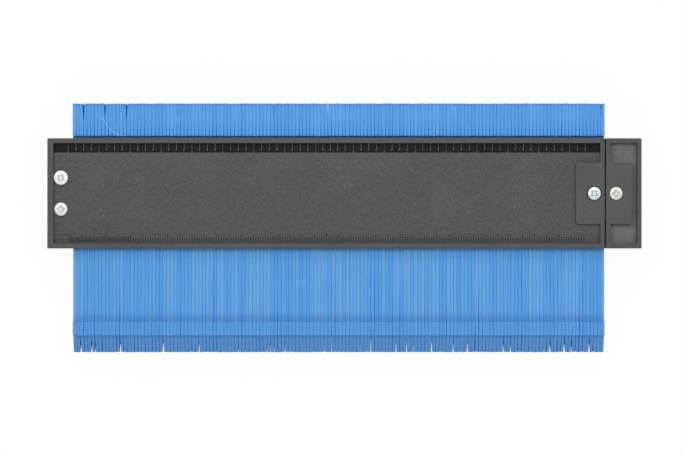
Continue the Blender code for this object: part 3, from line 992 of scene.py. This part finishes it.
def makeEndCap():
    c, h, s = endCap, housing, screwSpots
    left, right = capLow.x, capHigh.x
    cap = block("endCap", (left, centreY - halfHeight, 0), (right, centreY + halfHeight, middle * 2))
    roundEdges(cap, h["edgeRadius"], 3, lambda a, b: abs(a.x - b.x) > touch or abs(a.x - right) < touch)
    cutters = []
    fromX, toX = left + c["rim"], right - c["rim"]
    for side in (1, -1):
        corners = [
            (fromX, -recessHalf, h["recessCorner"]),
            (toX, -recessHalf, c["recessCorner"]),
            (toX, recessHalf, c["recessCorner"]),
            (fromX, recessHalf, h["recessCorner"]),
            (fromX, h["padHalf"], 0),
            (c["padX"], h["padHalf"], h["padCorner"]),
            (c["padX"], -h["padHalf"], h["padCorner"]),
            (fromX, -h["padHalf"], 0),
        ]
        low, high = levels(side, h["rim"] - c["recessDepth"], h["rim"] + 1)
        cutters.append(recessCutter("capRecess", corners, low, high))
        low, high = levels(side, c["pocketFloor"], h["pocketLevel"])
        pocketHigh = (c["pocketX"], centreY + h["pocketHalf"], high)
        cutters.append(block("capPocket", (left - 1, centreY - h["pocketHalf"], low), pocketHigh))
        reach = levels(side, s["sunkSeat"], h["rim"] + 1)
        cutters.append(bore("capSink", s["capX"], centreY, s["capSinkRadius"], reach))
        reach = levels(side, c["pilotFloor"], h["rim"])
        cutters.append(bore("capPilot", s["capX"], centreY, s["holeRadius"], reach, 24))
    carve(cap, cutters)
    soften(cap, h["softEdge"])
    # the witness line of the mould across the right rim
    markLow = (toX - 0.3, c["markY"], middle * 2 - c["markDepth"])
    mark = block("mark", markLow, (right + 1, c["markY"] + c["markWidth"], middle * 2 + 1))
    carve(cap, [mark])
    scoreAt(cap, [("x", fromX)] + padEdges)
    return weighNormals(smoothFaces(cap))


def makeLinkPlate(name, side):
    p, s = linkPlate, screwSpots
    corners = [
        (p["fromX"], centreY - p["half"], p["corner"]),
        (p["toX"], centreY - p["half"], p["corner"]),
        (p["toX"], centreY + p["half"], p["corner"]),
        (p["fromX"], centreY + p["half"], p["corner"]),
    ]
    plate = prism(name, rounded(corners, 8), *levels(side, p["low"], p["high"]))
    holes = []
    for place, x in (("clampHole", s["clampX"]), ("capHole", s["capX"])):
        holes.append(bore(place, x, centreY, s["holeRadius"], levels(side, 4, 9), 24))
    carve(plate, holes)
    soften(plate, p["softEdge"])
    return weighNormals(smoothFaces(plate))


def capFinishOf(centre, normal):
    # painted light: the deep floors are a little paler than the rims and the pads, making up for the light
    # that the recess walls keep out
    f, c, h = finishLimits, endCap, housing
    level = abs(centre.z - middle)
    if capLow.x + c["rim"] < centre.x < capHigh.x - c["rim"]:
        if abs(level - (h["rim"] - c["recessDepth"])) < f["capFloor"] and abs(normal.z) > 0.5:
            return 1
        if abs(normal.z) < 0.5 and level > f["capWall"]:
            return 2
    if level > h["rim"] - f["skin"]:
        onPad = centre.x < c["padX"] + f["padSkirt"] and abs(centre.y - centreY) < h["padHalf"]
        return 3 if onPad else 2
    return 0


capPiece = makeEndCap()
paint(capPiece, [grey[name] for name in ("grained", "capFloor", "rim", "pad")], capFinishOf)
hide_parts("end_cap")
capPieces = [capPiece]
for name, side, node in (("frontLinkPlate", 1, "front_link_plate"), ("rearLinkPlate", -1, "rear_link_plate")):
    plate = makeLinkPlate(name, side)
    paint(plate, [grey["grained"]], lambda centre, normal: 0)
    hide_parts(node)
    capPieces.append(plate)
for piece in capPieces:
    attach(piece, "end_cap_unit")
print("end cap ready")

# Screws

screw = {
    "headRadius": 2.8,
    "upperHeadRadius": 3.05,
    "headHeight": 1.7,
    "rimHeight": 1.05,
    "rimEdge": 0.1,
    "crown": 0.16,
    "crownSteps": 6,
    "shankRadius": 1.1,
    "threadStart": 0.5,
    "threadPitch": 0.8,
    "threadDepth": 0.18,
    "pointLength": 0.8,
    "pointRadius": 0.5,
    "recessReach": 2.05,
    "recessWaist": 1.15,
    "recessFloor": 0.48,
    "recessDepth": 0.55,
    "recessMouth": 1.3,
    "recessRadius": 2.0,
    "shadeDepth": 0.3,
    "softEdge": 0.08,
    "softAngle": 25,
    "turnSteps": 48,
}


def turned(name, profile, steps):
    shape = bmesh.new()
    points = [shape.verts.new((radius * mm, 0, height * mm)) for radius, height in profile]
    edges = [shape.edges.new(pair) for pair in zip(points, points[1:])]
    turn = {"cent": (0, 0, 0), "axis": (0, 0, 1), "angle": math.tau, "steps": steps}
    bmesh.ops.spin(shape, geom=points + edges, use_merge=True, **turn)
    bmesh.ops.remove_doubles(shape, verts=shape.verts, dist=1e-6)
    return meshObject(name, shape)


def driverCutter():
    # the driver recess: a four-pointed star that narrows to a small flat floor
    s = screw
    shape = bmesh.new()
    rings = []
    for height, size in ((-s["recessDepth"], s["recessFloor"]), (0.2, s["recessMouth"])):
        ring = []
        for step in range(8):
            radius = size * (s["recessWaist"] if step % 2 else s["recessReach"])
            angle = math.pi / 4 * step
            place = (radius * math.cos(angle), radius * math.sin(angle), s["headHeight"] + height)
            ring.append(shape.verts.new(Vector(place) * mm))
        rings.append(ring)
        shape.faces.new(ring)
    for step in range(8):
        following = (step + 1) % 8
        shape.faces.new((rings[0][step], rings[0][following], rings[1][following], rings[1][step]))
    return meshObject("recess", shape)


def makeScrew(name, length, headRadius):
    # a low crown that turns down in a round shoulder, as pan heads do
    s = screw
    steps, shank = s["crownSteps"], s["shankRadius"]
    shoulder = s["headHeight"] - s["rimHeight"] - s["crown"]
    profile = []
    for step in range(steps + 1):
        reach = step / steps
        profile.append(((headRadius - shoulder) * reach, s["headHeight"] - s["crown"] * reach**2))
    for step in range(1, steps + 1):
        angle = math.pi / 2 * step / steps
        height = s["rimHeight"] + shoulder * math.cos(angle)
        profile.append((headRadius - shoulder + shoulder * math.sin(angle), height))
    profile += [(headRadius, s["rimEdge"]), (headRadius - s["rimEdge"], 0.0), (shank, 0.0)]
    # the thread as close rings, which is all that shows of it
    height = -s["threadStart"]
    while height > s["pointLength"] + 0.1 - length:
        profile += [(shank, height), (shank - s["threadDepth"], height - s["threadPitch"] / 2)]
        height -= s["threadPitch"]
    profile += [(shank - 0.05, s["pointLength"] - length), (s["pointRadius"], -length), (0.0, -length)]
    made = turned(name, profile, s["turnSteps"])
    carve(made, [driverCutter()])
    soften(made, s["softEdge"], s["softAngle"])
    weighNormals(smoothFaces(made))
    # how far each point lies from the axis, and how deep it lies in the driver recess, which sets the painted
    # shade there
    fromAxis = made.data.attributes.new("fromAxis", "FLOAT", "POINT")
    recessed = made.data.attributes.new("recessed", "FLOAT", "POINT")
    for away, deep, vert in zip(fromAxis.data, recessed.data, made.data.vertices):
        away.value = vert.co.xy.length
        below = (s["headHeight"] - s["crown"] - vert.co.z / mm) / s["shadeDepth"]
        inRecess = vert.co.xy.length < s["recessRadius"] * mm and vert.co.z > 0
        deep.value = min(max(below, 0.0), 1.0) if inRecess else 0.0
    return made


def screwRow(x, y, side, seat, degrees):
    tilt = 0.0 if side > 0 else math.pi
    return (x, y, middle + side * (seat + screwSpots["headGap"]), tilt, math.radians(degrees))


leftX, leftOffset = screwSpots["left"]
clampX, capX = screwSpots["clampX"], screwSpots["capX"]
leftSeat, sunkSeat = screwSpots["leftSeat"], screwSpots["sunkSeat"]
screwSets = [
    (
        "upperScrew", 13.0, "upperHeadRadius", brightSteel, "housing", ("left_screw_upper",),
        [screwRow(leftX, centreY + leftOffset, 1, leftSeat, 56)],
    ),
    (
        "lowerScrew", 13.0, "headRadius", brightSteel, "housing", ("left_screw_lower",),
        [screwRow(leftX, centreY - leftOffset, 1, leftSeat, 4)],
    ),
    (
        "clampScrews", 2.5, "headRadius", coolSteel, "end_cap_unit",
        ("front_clamp_screw", "rear_clamp_screw"),
        [screwRow(clampX, centreY, 1, sunkSeat, 45), screwRow(clampX, centreY, -1, sunkSeat, 20)],
    ),
    (
        "capScrews", 5.5, "headRadius", warmSteel, "end_cap_unit",
        ("front_cap_screw", "rear_cap_screw"),
        [screwRow(capX, centreY, 1, sunkSeat, 8), screwRow(capX, centreY, -1, sunkSeat, 70)],
    ),
]
for name, length, radiusName, steel, body, nodes, rows in screwSets:
    base = makeScrew(name + "Base", length, screw[radiusName])
    placed = placeOnMarks(name, base, rows, steel)
    bpy.data.objects.remove(base)
    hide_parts(*nodes)
    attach(placed, body)
print("screws ready")

# Leaves

leaf = {
    "thickness": 1.39,
    "pitch": 1.475,
    "perGroup": 4,
    "groups": 37,
    "headTop": 51.25,
    "headMiddle": 44.5,
    "headBottom": 37.45,
    "neckTurns": (-8.4, -23.5),    # where the neck's edges have a point on their way
    "lugTop": -38.55,
    "lugBottom": -44.05,
    "tipEnd": -51.25,
    "neck": 5.5,
    "stop": 8.5,
    "tip": 1.5,
    "chamfer": (1.4, 0.41),        # the head's corner, and the point between its two facets
    # how wide each edge is broken
    "edge": 0.035,
    "cornerEdge": 0.3,
    "facetEdge": 0.09,
    "seatEdge": 0.14,
    "lugEdge": 0.05,
    "groove": 0.2,    # how deep the broken edges reach between two leaves
    "fill": 0.04,     # how far the leaves swell past each side of their group, so that no light shows through
    # leaf before the gap, and the gap's width at the very end
    "headGaps": {3: 0.75, 9: 0.8, 15: 0.6, 56: 0.2, 71: 0.25, 118: 0.2, 147: 0.35},
    "tipGaps": {
        2: 0.6, 5: 0.6, 6: 0.4, 13: 0.7, 25: 0.55, 35: 0.45, 83: 0.3, 90: 0.3, 93: 0.3, 100: 0.45,
        106: 0.4, 110: 0.45, 120: 0.45, 122: 0.45, 133: 0.6, 137: 0.6, 139: 0.4, 144: 0.7,
    },
}
leafScatter = {
    "Top Scatter": 0.12,
    "Seat Lift": 0.28,
    "Seat Scatter": 0.14,
    "Lug Scatter": 0.08,
    "Tip Scatter": 0.06,
    "Tip Slant": 0.16,
    "Line Scatter": 0.05,
    "Tip Split": 0.12,
    "Neck Slack": 0.10,
    "Twist": 0.05,
    "Depth Scatter": 0.012,
}
leafReach = {      # how far from an end of the leaf each change reaches, and how often it comes
    "headGap": 7.5,
    "top": (4.5, 3.0),
    "tip": (1.5, 0.9),
    "stop": (0.4, 1.2),
    "slant": 0.7,
    "wave": 0.06,
    "waveScale": 28.0,
    "waveBand": (0.35, 0.65),
    "looseStep": 3.7,
    "looseScale": 65.0,
    "looseBand": (0.38, 0.68),
    "looseRarity": 2.0,
    "tipRarity": 5.0,
    "neckShare": 0.3,     # of the necks' slack, where it starts below the housing's middle
}


def leafWidth():
    p = leaf
    groupWidth = p["thickness"] + p["pitch"] * (p["perGroup"] - 1)
    return (groupWidth + 2 * p["fill"]) / p["perGroup"]


def drawnIn(points, distance):
    # the closed outline moved inwards by that distance; its points run anticlockwise
    moved = []
    for index, point in enumerate(points):
        before = (point - points[index - 1]).normalized()
        after = (points[(index + 1) % len(points)] - point).normalized()
        first, second = Vector((-before.y, before.x)), Vector((-after.y, after.x))
        moved.append(point + (first + second) * distance / (1 + first.dot(second)))
    return moved


def leafBlank():
    # one leaf, a little thicker than its solid, as the leaves lie face to face
    p = leaf
    corner, facet = p["chamfer"]
    edge, neck, stop = p["edge"], p["neck"], p["stop"]
    front = [    # along the leaf, out from its middle, and how wide its edge is broken there
        (p["headTop"], stop - corner, p["cornerEdge"]),
        (p["headTop"] - facet, stop - facet, p["facetEdge"]),
        (p["headTop"] - corner, stop, edge),
        (p["headMiddle"], stop, edge),
        (p["headBottom"], stop, p["seatEdge"]),
        (p["headBottom"], neck, edge),
        (p["neckTurns"][0], neck, edge),
        (p["neckTurns"][1], neck, edge),
        (p["lugTop"], neck, edge),
        (p["lugTop"], stop, p["lugEdge"]),
        (p["lugBottom"], stop, p["lugEdge"]),
        (p["lugBottom"], neck, edge),
        (p["tipEnd"], p["tip"], p["facetEdge"]),
    ]
    strips = [(0, 1, 2, 3), (3, 4, 5), (5, 6), (6, 7), (7, 8), (8, 9, 10, 11), (11, 12)]
    both = front + [(u, -v, wide) for u, v, wide in reversed(front)]
    outline = [Vector((u, v)) for u, v, _ in both]
    sides = drawnIn(outline, p["groove"])
    half = leafWidth() / 2
    count = len(outline)
    shape = bmesh.new()

    def vertAt(x, u, v):
        return shape.verts.new(Vector((x, u, v + middle)) * mm)

    rings = []
    for sign in (-1, 1):
        flat = [vertAt(sign * half, u, v) for u, v in sides]
        outer = [vertAt(sign * (half - wide), u, v) for u, v, wide in both]
        for strip in strips:
            back = [flat[count - 1 - index] for index in reversed(strip)]
            shape.faces.new([flat[index] for index in strip] + back)
        rings.append((flat, outer))
    bands = [(rings[0][0], rings[0][1]), (rings[0][1], rings[1][1]), (rings[1][1], rings[1][0])]
    for near, far in bands:
        for index in range(count):
            following = (index + 1) % count
            shape.faces.new((near[index], near[following], far[following], far[index]))
    shape.verts.index_update()
    outerPlaces = {vert.index for _, outer in rings for vert in outer}
    blank = meshObject("leafBlank", shape)
    onEdge = blank.data.attributes.new("onEdge", "FLOAT", "POINT")
    for index, item in enumerate(onEdge.data):
        item.value = float(index in outerPlaces)
    # the two rings of broken edges come before and after the flat band between them
    firstBand = 2 * len(strips)
    onSeam = blank.data.attributes.new("onSeam", "BOOLEAN", "FACE")
    for index, item in enumerate(onSeam.data):
        item.value = index >= firstBand and not firstBand + count <= index < firstBand + 2 * count
    return smoothFaces(blank)


def makeLeafTree():
    r = leafReach
    inputs = [("Marks", geometry, None), ("Leaf", anObject, None), ("Finish", aMaterial, None)]
    inputs += [("Seam Finish", aMaterial, None), ("Seed", whole, 11)]
    lengths = ("headTop", "headBottom", "lugTop", "lugBottom", "tipEnd")
    inputs += [(name, number, leaf[name] * mm) for name in lengths]
    plain = ("Twist", "Depth Scatter", "Tip Slant")
    inputs += [(name, number, value if name in plain else value * mm) for name, value in leafScatter.items()]
    outputs = [("Geometry", geometry, None)]
    tree, given, out, identifiers = newTree("leafRow", "GeometryNodeTree", inputs, outputs)

    def chance(low, high, place, salt):
        # a random number for each leaf, or for each gap between two leaves
        seed = add(given["Seed"], float(salt))
        inputs = {2: low, 3: high, "ID": place, "Seed": seed}
        return addNode(tree, "FunctionNodeRandomValue", inputs, data_type="FLOAT").outputs[1]

    def scatter(label, salt):
        return chance(0.0, given[label], leafNumber, salt)

    real = copiesOnMarks(tree, given["Marks"], given["Leaf"])
    x, y, z = separated(addNode(tree, "GeometryNodeInputPosition").outputs[0])
    leafNumber = namedValue(tree, "number")
    across = subtract(x, namedValue(tree, "centre"))
    isRight = maths("GREATER_THAN", across, 0.0)
    sideSign = multiplyAdd(isRight, 2.0, -1.0)
    gapNumber = add(subtract(leafNumber, 1.0), isRight)

    def either(leftName, rightName):
        left, right = namedValue(tree, leftName), namedValue(tree, rightName)
        return multiplyAdd(isRight, subtract(right, left), left)

    # how far each side of the leaf draws in: heads towards the top, tips towards the end, the neck in between
    headReach = ramp(y, subtract(given["headTop"], r["headGap"] * mm), given["headTop"])
    tipReach = ramp(y, given["lugBottom"], given["tipEnd"])
    neckReach = ramp(y, leaf["neckTurns"][0] * mm, given["lugTop"], r["neckShare"], 1.0)
    # a few gaps are loose, and open and close again along the leaf
    loose = maths("POWER", chance(0.0, 1.0, gapNumber, 5), r["looseRarity"])
    along = combined(tree, X=multiply(gapNumber, r["looseStep"]), Y=multiply(y, r["looseScale"]))
    parted = multiply(ramp(noise(along, 1.0, 0.0), *r["looseBand"]), loose)
    slack = multiplyAdd(given["Neck Slack"], neckReach, given["Line Scatter"])
    tipChance = maths("POWER", chance(0.0, 1.0, gapNumber, 6), r["tipRarity"])
    tipGap = multiplyAdd(tipChance, given["Tip Split"], either("tipLeft", "tipRight"))
    inset = multiply(either("headLeft", "headRight"), headReach)
    inset = multiplyAdd(tipGap, tipReach, inset)
    # the leaves part only along their broken edges, and touch behind them
    inset = multiplyAdd(multiply(parted, slack), namedValue(tree, "onEdge"), inset)
    moveX = multiply(multiply(inset, sideSign), -1.0)

    # uneven ends: every move goes inwards, so that the leaves stay inside their solids
    def near(end):
        full, none = r["stop"]
        return ramp(maths("ABSOLUTE", subtract(y, given[end])), full * mm, none * mm, 1.0, 0.0)

    def fromEnd(end, way, span):
        return ramp(y, *(add(given[end], way * place * mm) for place in span))

    wave = noise(combined(tree, X=namedValue(tree, "centre")), r["waveScale"], 1.0)
    wave = ramp(wave, *r["waveBand"])
    topDrop = multiplyAdd(wave, r["wave"] * mm, scatter("Top Scatter", 1))
    moveY = multiply(multiply(topDrop, fromEnd("headTop", -1, r["top"])), -1.0)
    seatLift = add(scatter("Seat Scatter", 2), given["Seat Lift"])
    lugDrop = multiply(scatter("Lug Scatter", 3), -1.0)
    lugRise = scatter("Lug Scatter", 4)
    for move, end in ((seatLift, "headBottom"), (lugDrop, "lugTop"), (lugRise, "lugBottom")):
        moveY = multiplyAdd(move, near(end), moveY)
    slope = multiply(chance(-1.0, 1.0, leafNumber, 7), given["Tip Slant"])
    slant = multiplyAdd(slope, across, multiply(maths("ABSOLUTE", slope), r["slant"] * mm))
    tipRise = add(slant, scatter("Tip Scatter", 8))
    moveY = multiplyAdd(tipRise, fromEnd("tipEnd", 1, r["tip"]), moveY)

    # a slight twist and a slightly different height for each leaf
    twist = multiply(multiply(chance(-1.0, 1.0, leafNumber, 9), given["Twist"]), across)
    frontSign = multiplyAdd(maths("GREATER_THAN", z, middle * mm), 2.0, -1.0)
    sunk = multiply(scatter("Depth Scatter", 10), -1.0)
    moveZ = multiplyAdd(subtract(z, middle * mm), sunk, multiply(twist, frontSign))

    inputs = {"Geometry": real, "Offset": combined(tree, X=moveX, Y=moveY, Z=moveZ)}
    moved = addNode(tree, "GeometryNodeSetPosition", inputs).outputs[0]
    inputs = {"Geometry": moved, "Name": "leafTone", "Value": chance(0.0, 1.0, leafNumber, 12)}
    toned = addNode(tree, "GeometryNodeStoreNamedAttribute", inputs, data_type="FLOAT").outputs[0]
    leaves = finished(tree, toned, given["Finish"])
    seams = finished(tree, leaves, given["Seam Finish"], Selection=namedValue(tree, "onSeam", "BOOLEAN"))
    wire(seams, out["Geometry"])
    return tree, identifiers


def makeLeaves():
    p = leaf
    blank = leafBlank()
    leafTree, leafInputs = makeLeafTree()
    values = {"Leaf": blank, "Finish": leafPlastic, "Seam Finish": seamPlastic}
    columns = ("number", "centre", "headLeft", "headRight", "tipLeft", "tipRight")
    for group in range(p["groups"]):
        label = f"{group + 1:02d}"
        low, _ = boxInMm("leaf_group_" + label)
        rows = []
        for index in range(p["perGroup"]):
            count = group * p["perGroup"] + index + 1
            x = low.x - p["fill"] + leafWidth() * (index + 0.5)
            halves = [
                gaps.get(place, 0.0) / 2 * mm
                for gaps in (p["headGaps"], p["tipGaps"])
                for place in (count - 1, count)
            ]
            rows.append((x, 0, 0, float(count), x * mm, *halves))
        leaves = marksObject("leafPack_" + label, rows, columns)
        growOn(leaves, leafTree, leafInputs, values)
        weighNormals(leaves)
        dropAttributes(leaves, (*columns, "onEdge", "onSeam"))
        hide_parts("leaf_group_" + label)
        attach(leaves, "leaves_" + label)
    bpy.data.objects.remove(blank)


makeLeaves()
print("leaves ready")

# Floor, light and camera

white = (1.0, 1.0, 1.0, 1.0)
studio = {
    "worldLight": 0.35,
    "lamps": {    # place, size and power: one overhead, and one low at each long side
        "topLight": ((0.0, 0.30, 1.25), (1.2, 0.4), 8.4),
        "headSideLight": ((0.0, 0.95, 1.0), (1.6, 0.5), 4.6),
        "tipSideLight": ((0.0, -0.95, 1.0), (1.6, 0.5), 6.9),
    },
    "floorColour": (0.92, 0.92, 0.92, 1.0),
    "floorWhite": 0.95,
    "floorHalf": 3.0,
    "floorDrop": 0.0001,    # so far under the gauge
}
camera = {
    "aim": (-1.0, 0.0),
    "height": 1625.0,     # above the front face
    "viewWidth": 280.4,   # of the front face, in the photo's 684 px
    "sensor": 36.0,
}


def whiteRays(tree):
    # the rays that look at the background itself, and those that meet it as a gloss
    paths = addNode(tree, "ShaderNodeLightPath").outputs
    return maths("MAXIMUM", paths["Is Camera Ray"], paths["Is Transmission Ray"]), paths["Is Glossy Ray"]


def makeFloor():
    shape = bmesh.new()
    half = studio["floorHalf"]
    corners = ((-half, -half), (half, -half), (half, half), (-half, half))
    shape.faces.new([shape.verts.new((x, y, -studio["floorDrop"])) for x, y in corners])
    floor = meshObject("floor", shape)
    material = bpy.data.materials.new("palePaper")
    material.use_nodes = True
    tree = material.node_tree
    tree.nodes.clear()
    lit = addNode(tree, "ShaderNodeBsdfDiffuse", {"Color": studio["floorColour"]}).outputs[0]
    glow = addNode(tree, "ShaderNodeEmission", {"Color": white}).outputs[0]
    share = multiply(maths("MAXIMUM", *whiteRays(tree)), studio["floorWhite"])
    mixed = addNode(tree, "ShaderNodeMixShader", {0: share, 1: lit, 2: glow}).outputs[0]
    addNode(tree, "ShaderNodeOutputMaterial", {"Surface": mixed})
    floor.data.materials.append(material)


def makeWorld():
    world = bpy.data.worlds.new("studio")
    bpy.context.scene.world = world
    world.use_nodes = True
    tree = world.node_tree
    tree.nodes.clear()
    strength = ramp(whiteRays(tree)[0], 0.0, 1.0, studio["worldLight"], 1.0)
    background = addNode(tree, "ShaderNodeBackground", {"Color": white, "Strength": strength}).outputs[0]
    addNode(tree, "ShaderNodeOutputWorld", {"Surface": background})


def areaLight(name, place, size, power):
    data = bpy.data.lights.new(name, "AREA")
    data.shape = "RECTANGLE"
    data.size, data.size_y = size
    data.energy = power
    lamp = inScene(name, data)
    lamp.location = place
    lamp.rotation_euler = (-Vector(place)).to_track_quat("-Z", "Y").to_euler()


def makeCamera():
    data = bpy.data.cameras.new("camera")
    data.sensor_width = camera["sensor"]
    data.lens = camera["sensor"] * camera["height"] / camera["viewWidth"]
    data.clip_end = 20.0
    eye = inScene("camera", data)
    x, y = camera["aim"]
    eye.location = Vector((x, y, camera["height"] + middle * 2)) * mm
    bpy.context.scene.camera = eye


makeFloor()
makeWorld()
for name, (place, size, power) in studio["lamps"].items():
    areaLight(name, place, size, power)
makeCamera()
bpy.context.scene.view_settings.view_transform = "Standard"
print("studio ready")
